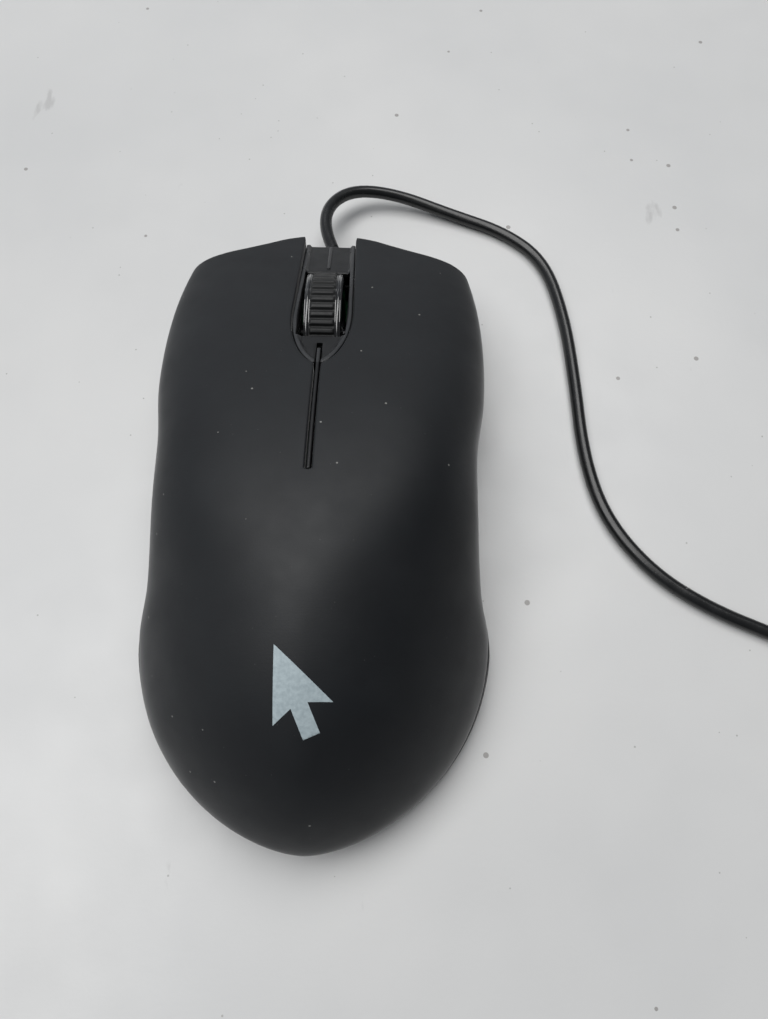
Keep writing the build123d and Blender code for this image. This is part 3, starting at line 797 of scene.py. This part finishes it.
def palm_skin():
    """The fixed rear of the top cover, one smooth dome from seam to seam."""
    rows, half = PALM_ROWS, PALM_HALF_COLUMNS
    grid = np.zeros((rows, 2 * half - 1, 3))
    length = FLEX_Y + HALF_LENGTH - 0.02
    for i, t in enumerate(np.linspace(0, 1, rows)):
        y = FLEX_Y - length * (1 - (1 - t) ** PALM_TAIL_CROWDING)
        start = min(seam_height(y) + SEAM_GAP + EDGE_ROUND, crown_height(y) - 0.05)
        side = half_section(y, start, 0.0, half)
        grid[i, :half] = np.stack([-side[:, 0], np.full(half, y), side[:, 1]], 1)
        right = side[::-1]
        grid[i, half - 1 :] = np.stack([right[:, 0], np.full(half, y), right[:, 1]], 1)
    grid[:, half - 1, 0] = 0
    return thick_patch("palm_cover_skin", grid, WALL, (False, True, True, True), flip=True)


def button_rows():
    """Nominal places along the click plate, close together where the slot ends and the well begins."""
    rows = [FLEX_Y + SLOT_HALF * (1 - math.cos(math.pi / 2 * k / 8)) for k in range(8)]
    rows += list(np.linspace(FLEX_Y + SLOT_HALF, WELL_TIP_Y - 1.2, 34))
    rows += list(WELL_TIP_Y + 0.17 + 5.0 * np.linspace(0, 1, 26) ** 1.8)
    return rows + list(np.linspace(WELL_TIP_Y + 5.3, NOSE_Y, 62))


def button_side(y):
    """The click plate's section at y, from above the seam up to the slot or the well."""
    inner = max(slot_half_width(y), well_half_width(y) if y > WELL_TIP_Y else 0) + EDGE_ROUND
    lift = SEAM_GAP + BUTTON_DROP_ROOM * max(y - FLEX_Y, 0) / NOSE_Y + EDGE_ROUND
    return half_section(y, seam_height(y) + lift, inner, BUTTON_COLUMNS)


def button_skin(side):
    """One click plate, from a fine table of its sections: each column of the grid ends at the swept
    front edge, so its rows ahead of SWEEP_START_Y are stretched or squeezed to reach it."""
    fine = np.concatenate([
        np.linspace(FLEX_Y, FLEX_Y + SLOT_HALF, 30)[:-1],
        np.arange(FLEX_Y + SLOT_HALF, WELL_TIP_Y - 0.7, TABLE_STEP),
        WELL_TIP_Y - 0.7 + 5.1 * np.linspace(0, 1, 160) ** 1.6,
        np.arange(WELL_TIP_Y + 4.5, NOSE_Y + 1, TABLE_STEP),
    ])
    table = np.array([button_side(y) for y in fine])
    nominal = button_rows()
    grid = np.zeros((len(nominal), BUTTON_COLUMNS, 3))
    for j in range(BUTTON_COLUMNS):
        end = NOSE_Y - 2
        for _ in range(12):
            end = front_edge(np.interp(end, fine, table[:, j, 0])) - EDGE_ROUND
        stretch = (end - SWEEP_START_Y) / (NOSE_Y - SWEEP_START_Y)
        for i, row in enumerate(nominal):
            y = row if row < SWEEP_START_Y else SWEEP_START_Y + (row - SWEEP_START_Y) * stretch
            grid[i, j] = (side * np.interp(y, fine, table[:, j, 0]), y, np.interp(y, fine, table[:, j, 1]))
    name = "left_button_skin" if side < 0 else "right_button_skin"
    return thick_patch(name, grid, WALL, (False, True, True, True), flip=side > 0)


def front_lip(side):
    """Turned-down front edge of a click plate, which hangs ahead of the housing's front wall."""
    columns, faces = [], []
    for x in np.linspace(WELL_FRONT_HALF + 0.2, PLATE_LIP_END, 60):
        y = front_edge(x)
        low = seam_height(y) + SEAM_GAP + BUTTON_DROP_ROOM * (y - FLEX_Y) / NOSE_Y
        top = surface_height(x, y - PLATE_LIP_REAR) - WALL / 2
        cut = 0.3 * PLATE_LIP_CORNER
        section = [
            (PLATE_LIP_SET_BACK, top),
            (PLATE_LIP_SET_BACK, low + PLATE_LIP_CORNER),
            (PLATE_LIP_SET_BACK + cut, low + cut),
            (PLATE_LIP_SET_BACK + PLATE_LIP_CORNER, low),
            (PLATE_LIP_REAR - PLATE_LIP_CHAMFER, low),
            (PLATE_LIP_REAR, low + PLATE_LIP_CHAMFER),
            (PLATE_LIP_REAR, top),
        ]
        columns.append([(side * x, y - back, z) for back, z in section])
    count = len(columns[0])
    points = [p for column in columns for p in column]
    for i in range(len(columns) - 1):
        for k in range(count):
            after = (k + 1) % count
            faces.append([i * count + k, i * count + after, (i + 1) * count + after, (i + 1) * count + k])
    faces.append(list(reversed(range(count))))
    faces.append([len(points) - count + k for k in range(count)])
    if side > 0:
        faces = [list(reversed(face)) for face in faces]
    return mesh_object("left_button_lip" if side < 0 else "right_button_lip", points, faces)


palm = palm_skin()
paint(palm, "soft_touch_black")
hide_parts("palm_cover")
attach(palm, "housing")

for side, body in ((-1, "left_button"), (1, "right_button")):
    skin = button_skin(side)
    paint(skin, "soft_touch_black")
    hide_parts(body)
    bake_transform(skin)
    lip = front_lip(side)
    paint(lip, "soft_touch_black")
    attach(lip, body)

# ---------------------------------------------------------------- bezel and printed mark

ARCH_POINTS = 90
TRAY_TIP_HALF = 0.86
FLOOR_POINTS = 10
RIM_SHARES = (0.05, 0.12, 0.22, 0.34, 0.46, 0.58, 0.68, 0.76, 0.83, 0.89, 0.935, 0.97, 1.0)
STRAIGHT_SIDE_Y = 40
LIP_ROUND = 0.3
OPENING_ROUND = 0.22
SLOT_ROUND = 0.15
BAR_STEPS = 8
SPINE_Y = (FLEX_Y + 0.3, 24.1)
SPINE_SET_DOWN = 0.45
SPINE_DEPTH = 2.4
NOSE_RIB_Y = (49.6, 58.6)
NOSE_RIB_HALF = 0.36
NOSE_RIB_RISE = 0.32
NOSE_RIB_DEPTH = 0.6
NOSE_HALF = 4.6
NOSE_COLUMNS = 20
NOSE_ROWS = (57.0, 57.1, 57.9, 58.2, 58.35)
NOSE_BOTTOM = 12.05
LIP_REAR_Y = 20.2
TINY = 1e-6


def closed_sheet(points, faces, below):
    """A solid from an upper surface and the matching points below it, walled round every open edge."""
    count = len(points)
    used = {}
    for face in faces:
        for a, b in zip(face, face[1:] + face[:1]):
            used[(a, b)] = used.get((a, b), 0) + 1
    walls = [[b, a, a + count, b + count] for a, b in used if (b, a) not in used]
    under = [[i + count for i in reversed(face)] for face in faces]
    return list(points) + list(below), faces + under + walls


def grid_faces(rows, columns):
    """Faces of a grid of points that has this many cells along and across."""
    faces = []
    for i in range(rows):
        for j in range(columns):
            a = i * (columns + 1) + j
            faces.append([a, a + 1, a + columns + 2, a + columns + 1])
    return faces


def join_solids(parts):
    points, faces = [], []
    for more_points, more_faces in parts:
        start = len(points)
        points += more_points
        faces += [[i + start for i in face] for face in more_faces]
    return points, faces


def well_outline():
    """The bezel's plan outline, right side, as (half width, y) from its rear tip to its nose."""
    span = WELL_BULGE_Y - WELL_TIP_Y
    turns = [math.pi / 2 * i / ARCH_POINTS for i in range(ARCH_POINTS + 1)]
    ys = [WELL_TIP_Y + span * (1 - math.cos(turn)) for turn in turns]
    ys += list(np.linspace(WELL_BULGE_Y + 0.3, NOSE_Y, 60))
    edge = np.array([(well_half_width(y), y) for y in ys])
    edge[0, 0] = 0
    along = np.gradient(edge, axis=0)
    inward = unit(np.stack([-along[:, 1], along[:, 0]], 1))
    return edge + inward * WELL_GAP


def round_over(distance, radius):
    """Drop of a quarter-round edge at a distance in from it."""
    e = np.clip(radius - distance, 0, radius)
    return radius - np.sqrt(np.maximum(radius * radius - e * e, 0))


def tray_rows(edge):
    """Places along the tray, close together where the lip turns at its rear and at its front edge."""
    tip = edge[: ARCH_POINTS * 2 // 3]
    start = float(np.interp(TRAY_TIP_HALF, tip[:, 0], tip[:, 1]))
    rows = list(start + (SLOT_FRONT_Y - start) * np.linspace(0, 1, 44) ** 1.5)
    rows += list(np.linspace(SLOT_FRONT_Y, OPENING_REAR, 12)[1:])
    rows += list(np.linspace(OPENING_REAR, OPENING_FRONT, 56)[1:])
    length = BEZEL_FRONT_Y - OPENING_FRONT
    return rows + [BEZEL_FRONT_Y - length * (1 - t) ** 1.3 for t in np.linspace(0, 1, 34)[1:]]


def tray_columns(rows, width_at):
    """The x of each point: floor points up to the opening's side, then rim points up to the outline."""
    floor = np.linspace(0, 1, FLOOR_POINTS)
    rear_width = width_at(OPENING_REAR)
    grid = []
    for y in rows:
        w = width_at(y)
        zone = OPENING_HALF * (1 if y >= OPENING_REAR else w / rear_width)
        right = list(TRAY_SLOT_HALF + (zone - TRAY_SLOT_HALF) * floor)
        right += list(zone + (w - zone) * np.array(RIM_SHARES))
        grid.append([-x for x in reversed(right)] + [-TRAY_SLOT_HALF / 2, 0.0, TRAY_SLOT_HALF / 2] + right)
    return np.array(grid)


def distance_to_outline(x, y, edge, width_at):
    """How far in from the bezel's outline each point lies; ahead of STRAIGHT_SIDE_Y, straight across."""
    side = np.clip(width_at(y) - np.abs(x), 0, None)
    gap = side
    for ex, ey in edge:
        gap = np.minimum(gap, np.hypot(np.abs(x) - ex, y - ey))
    return np.where(y > STRAIGHT_SIDE_Y, side, gap)


def distance_to_opening(x, y):
    """How far each point lies from the wheel's opening."""
    across = np.clip(np.abs(x) - OPENING_HALF, 0, None)
    along = np.clip(np.maximum(OPENING_REAR - y, y - OPENING_FRONT), 0, None)
    return np.hypot(across, along)


def bezel_tray():
    """Floor and raised lip round the wheel, open at the slot behind and over the wheel."""
    edge = well_outline()
    order = np.argsort(edge[:, 1])

    def width_at(y):
        return np.interp(y, edge[order, 1], edge[order, 0])

    rows = tray_rows(edge)
    x = tray_columns(rows, width_at)
    columns = x.shape[1]
    y = np.repeat(np.array(rows)[:, None], columns, 1)
    gap = distance_to_outline(x, y, edge, width_at)
    z = np.vectorize(tray_height)(y) + LIP_HEIGHT * (1 - ease((gap - LIP_TOP_WIDTH) / LIP_SLOPE_WIDTH))
    z = z - round_over(gap, LIP_ROUND)
    z = z - round_over(distance_to_opening(x, y), OPENING_ROUND) - round_over(BEZEL_FRONT_Y - y, LIP_ROUND)
    slot_side = np.clip(np.abs(x) - TRAY_SLOT_HALF, 0, None)
    z = z - np.where(y < SLOT_FRONT_Y - TINY, round_over(slot_side, SLOT_ROUND), 0)
    points, below = [], []
    for i, row in enumerate(rows):
        for j in range(columns):
            points.append((float(x[i, j]), row, float(z[i, j])))
            below.append((float(x[i, j]), row, tray_height(row) - TRAY_THICKNESS))
    faces = []
    for i in range(len(rows) - 1):
        in_slot = rows[i + 1] <= SLOT_FRONT_Y + TINY
        in_opening = OPENING_REAR - TINY <= rows[i] and rows[i + 1] <= OPENING_FRONT + TINY
        for j in range(columns - 1):
            from_middle = abs(j + 0.5 - columns // 2)
            if (in_slot and from_middle < 2) or (in_opening and from_middle < FLOOR_POINTS + 1):
                continue
            a = i * columns + j
            faces.append([a, a + 1, a + columns + 1, a + columns])
    return closed_sheet(points, faces, below)


def raised_bar(y0, y1, half, top, depth, steps):
    """A bar along Y with a rounded back; top(y) gives its height."""
    angles = [math.pi * k / BAR_STEPS for k in range(BAR_STEPS + 1)]
    rows = [y0 + (y1 - y0) * i / steps for i in range(steps + 1)]
    points, below = [], []
    for y in rows:
        end = min(y - y0, y1 - y)
        drop = float(round_over(np.array(end), half))
        for a in angles:
            points.append((-half * math.cos(a), y, top(y) - half * 0.7 * (1 - math.sin(a)) - drop))
            below.append((-half * math.cos(a), y, top(y) - depth))
    return closed_sheet(points, grid_faces(steps, BAR_STEPS), below)


def bezel_nose():
    """Upright apron that closes the front below the tray."""
    columns = [-NOSE_HALF + 2 * NOSE_HALF * k / NOSE_COLUMNS for k in range(NOSE_COLUMNS + 1)]
    top = tray_height(TRAY_FRONT_Y) - 0.9
    points = [(x, y, top) for y in NOSE_ROWS for x in columns]
    below = [(x, y, NOSE_BOTTOM + 0.9 * max(y - NOSE_ROWS[2], 0)) for y in NOSE_ROWS for x in columns]
    return closed_sheet(points, grid_faces(len(NOSE_ROWS) - 1, NOSE_COLUMNS), below)


def is_lip(x, y, z):
    """Whether a point stands above the tray's floor, as the raised rim does."""
    return y > LIP_REAR_Y and z > tray_height(y) + 0.1


def centre_bezel():
    """Tray, spine in the slot, short rib ahead of the wheel and apron, as one piece."""
    spine = raised_bar(*SPINE_Y, SPINE_HALF, lambda y: crown_height(y) - SPINE_SET_DOWN, SPINE_DEPTH, 90)
    nose_rib = raised_bar(
        *NOSE_RIB_Y, NOSE_RIB_HALF, lambda y: tray_height(y) + NOSE_RIB_RISE, NOSE_RIB_DEPTH, 30
    )
    points, faces = join_solids([bezel_tray(), spine, nose_rib, bezel_nose()])
    piece = mesh_object("centre_bezel_tray", points, faces, 50)
    paint(piece, "bezel_black")
    # The lip's upward faces get a second material: its lighter colour is a painted highlight, its lower
    # roughness is real gloss.
    piece.data.materials.append(RIM_HIGHLIGHT_MATERIAL)
    for polygon in piece.data.polygons:
        x, y, z = polygon.center / MM
        polygon.material_index = int(polygon.normal.z > 0.2 and is_lip(x, y, z))
    return piece


# Bezel lip: a painted highlight in its lighter colour, with the real gloss of a smoother, more specular
# finish.
RIM_HIGHLIGHT_MATERIAL = plastic(
    "bezel_rim_painted_highlight",
    (0.024, 0.025, 0.027),
    (0.033, 0.034, 0.036),
    (0.26, 0.36),
    0.35,
    0.006,
    specular=0.6,
    dust=0.1,
    patch_mm=4.0,
)

bezel = centre_bezel()
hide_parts("centre_bezel")
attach(bezel, "housing")

MARK_CENTRE = (0.9, -36.4)
MARK_CELL = 0.27
MARK_CUTS = 26
MARK_ABOVE = 0.035
MARK_BELOW = 0.05
MARK_OUTLINE = [
    (-4.6, 6.5),
    (-4.6, -4.6),
    (-1.95, -2.3),
    (-0.1, -6.5),
    (2.35, -5.45),
    (0.5, -1.35),
    (4.2, -1.2),
]


def printed_mark():
    """Pad-printed pointer arrow, a thin layer that follows the dome."""
    work = bmesh.new()
    corners = [work.verts.new((x, y, 0)) for x, y in MARK_OUTLINE]
    work.faces.new(corners)
    for k in range(-MARK_CUTS, MARK_CUTS + 1):
        for normal, place in (((1, 0, 0), (k * MARK_CELL, 0, 0)), ((0, 1, 0), (0, k * MARK_CELL, 0))):
            geometry = work.verts[:] + work.edges[:] + work.faces[:]
            bmesh.ops.bisect_plane(work, geom=geometry, plane_co=place, plane_no=normal)
    work.verts.index_update()
    flat = [(v.co.x + MARK_CENTRE[0], v.co.y + MARK_CENTRE[1]) for v in work.verts]
    faces = [[v.index for v in face.verts] for face in work.faces]
    work.free()
    points = [(x, y, surface_height(x, y) + MARK_ABOVE) for x, y in flat]
    below = [(x, y, surface_height(x, y) - MARK_BELOW) for x, y in flat]
    points, faces = closed_sheet(points, faces, below)
    return mesh_object("palm_mark", points, faces, 60)


mark = printed_mark()
mark.data.materials.append(ink("mark_ink"))
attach(mark, "housing")

# ---------------------------------------------------------------- wheel

axle_low, axle_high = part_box("wheel_axle")
AXLE_Y = (axle_low.y + axle_high.y) / 2 / MM
AXLE_Z = (axle_low.z + axle_high.z) / 2 / MM
TYRE_RIBS = 48
TYRE_RADIUS = 12.0
TYRE_BORE_RADIUS = 10.2
TYRE_HALF = 2.35
RIB_DEPTH = 0.55
RIB_FLATNESS = 2.6
RIB_BIAS = 0.35
SHOULDER = 0.45
SHOULDER_DROP = 0.42
RIB_FADE = 0.35


def wheel_tyre():
    """Ribbed rubber ring: rounded ribs that fade into plain shoulders."""
    outline = []
    for k in range(19):
        x = -TYRE_HALF * math.cos(math.pi * k / 18)
        edge = 1 - min((TYRE_HALF - abs(x)) / SHOULDER, 1.0)
        outline.append((x, TYRE_RADIUS - SHOULDER_DROP * edge * edge))
    profile = outline + [(TYRE_HALF, TYRE_BORE_RADIUS), (-TYRE_HALF, TYRE_BORE_RADIUS)]
    full = math.tanh(RIB_FLATNESS * (1 + RIB_BIAS))

    def rib(angle, x, r):
        if r <= TYRE_BORE_RADIUS:
            return 0.0
        phase = math.cos(angle * TYRE_RIBS)
        flat = 0.5 + 0.5 * math.tanh(RIB_FLATNESS * (phase + RIB_BIAS)) / full
        inside = min(max((TYRE_HALF - abs(x)) / RIB_FADE, 0.0), 1.0)
        return -RIB_DEPTH * (1 - flat) * inside

    points, faces = lathe(profile, TYRE_RIBS * 12, (AXLE_Y, AXLE_Z), rib)
    return mesh_object("wheel_tyre_ribbed", points, faces, 50)


tyre = wheel_tyre()
paint(tyre, "tyre_rubber")
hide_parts("wheel_tyre")
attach(tyre, "wheel")

RIM_SECTION = [
    (2.42, 10.9),
    (2.42, 11.2),
    (2.5, 11.4),
    (2.66, 11.52),
    (2.9, 11.55),
    (3.12, 11.47),
    (3.32, 11.27),
    (3.46, 10.98),
    (3.53, 10.6),
    (3.53, 10.2),
    (3.47, 9.95),
    (3.3, 9.9),
]


def hub_rim(side):
    """Polished rounded edge of the hub beside the tyre."""
    section = [(side * x, r) for x, r in RIM_SECTION]
    points, faces = lathe(section, 192, (AXLE_Y, AXLE_Z))
    if side < 0:
        faces = [list(reversed(face)) for face in faces]
    return mesh_object("wheel_rim_left" if side < 0 else "wheel_rim_right", points, faces, 60)


for side in (-1, 1):
    rim = hub_rim(side)
    paint(rim, "rim_gloss_black")
    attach(rim, "wheel")

# ---------------------------------------------------------------- cord

paint(cord, "cord_black")
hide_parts("cord_run", "cord_coil", "cord_tail")
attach(cord, "housing")

# ---------------------------------------------------------------- desk, room and lights

DESK_HALF = 1.6
DESK_TINTS = ((0.585, 0.590, 0.592), (0.655, 0.655, 0.650))
# Where the painted shade on the desk starts and where it is deepest, along Y.
PAINTED_SHADE_START, PAINTED_SHADE_END = -0.13, -0.42
ROOM_SLOPE = (-0.40, 0.24, 0.0)
ROOM_LEVEL = 0.41
ROOM_DIM = (0.035, 0.038, 0.042, 1)
ROOM_BRIGHT = (0.36, 0.38, 0.41, 1)


def add_desk():
    """Pale desk top with faint blotches, a few specks and painted shade: a darker stretch toward the viewer.
    """
    mesh = bpy.data.meshes.new("desk")
    corners = [(DESK_HALF * x, DESK_HALF * y, 0) for x, y in ((-1, -1), (1, -1), (1, 1), (-1, 1))]
    mesh.from_pydata(corners, [], [(0, 1, 2, 3)])
    desk = add_object("desk", mesh)
    material, tree, shader, place = new_material("desk_laminate")
    drift = noise(tree, place, 70.0, 4.0)
    colour = ramp(tree, drift, *DESK_TINTS, 0.25, 0.75)
    scuffs = ramp(tree, noise(tree, place, 9.0, 5.0, (1.0, 0.35, 1.0)), 0.0, 1.0, 0.70, 0.74)
    colour = mix_colour(tree, scuffs, colour, (0.50, 0.50, 0.50))
    colour = mix_colour(tree, specks(tree, place, 4.5, 0.05), colour, (0.33, 0.32, 0.31))
    colour = mix_colour(tree, specks(tree, place, 1.6, 0.02), colour, (0.40, 0.40, 0.39))
    split = tree.nodes.new("ShaderNodeSeparateXYZ")
    tree.links.new(place, split.inputs["Vector"])
    # Painted shade: the desk's colour darkens smoothly toward the viewer.
    painted_shade = tree.nodes.new("ShaderNodeMapRange")
    painted_shade.interpolation_type = "SMOOTHSTEP"
    painted_shade.inputs["From Min"].default_value = PAINTED_SHADE_START
    painted_shade.inputs["From Max"].default_value = PAINTED_SHADE_END
    painted_shade.inputs["To Max"].default_value = 0.8
    tree.links.new(split.outputs["Y"], painted_shade.inputs["Value"])
    colour = mix_colour(tree, painted_shade.outputs["Result"], colour, (0.10, 0.10, 0.10))
    tree.links.new(colour, shader.inputs["Base Color"])
    tree.links.new(ramp(tree, noise(tree, place, 14.0, 4.0), 0.30, 0.45), shader.inputs["Roughness"])
    bump(tree, shader, noise(tree, place, 1.2), 0.02)
    mesh.materials.append(material)


def add_world():
    """A room brighter ahead and to the left, and dim behind the viewer."""
    world = bpy.data.worlds.new("room")
    world.use_nodes = True
    tree = world.node_tree
    back = tree.nodes["Background"]
    place = tree.nodes.new("ShaderNodeTexCoord")
    slope = tree.nodes.new("ShaderNodeVectorMath")
    slope.operation = "DOT_PRODUCT"
    slope.inputs[1].default_value = ROOM_SLOPE
    tree.links.new(place.outputs["Generated"], slope.inputs[0])
    raised = tree.nodes.new("ShaderNodeMath")
    raised.operation = "ADD"
    raised.inputs[1].default_value = ROOM_LEVEL
    tree.links.new(slope.outputs["Value"], raised.inputs[0])
    shade = tree.nodes.new("ShaderNodeValToRGB")
    shade.color_ramp.elements[0].position = 0.10
    shade.color_ramp.elements[0].color = ROOM_DIM
    shade.color_ramp.elements[1].position = 0.95
    shade.color_ramp.elements[1].color = ROOM_BRIGHT
    tree.links.new(raised.outputs[0], shade.inputs["Fac"])
    tree.links.new(shade.outputs["Color"], back.inputs["Color"])
    back.inputs["Strength"].default_value = 1.0
    bpy.context.scene.world = world


add_desk()
add_world()
add_area_light("ceiling", (-0.20, 0.22, 1.2), (0, 0, 0), (1.9, 0.75), 18.0, (1.0, 0.995, 0.985))
add_area_light("window", (-0.35, 1.2, 0.72), (0, 0, 0), (0.7, 0.14), 0.3, (0.97, 0.99, 1.0))
bpy.context.scene.view_settings.view_transform = "Standard"
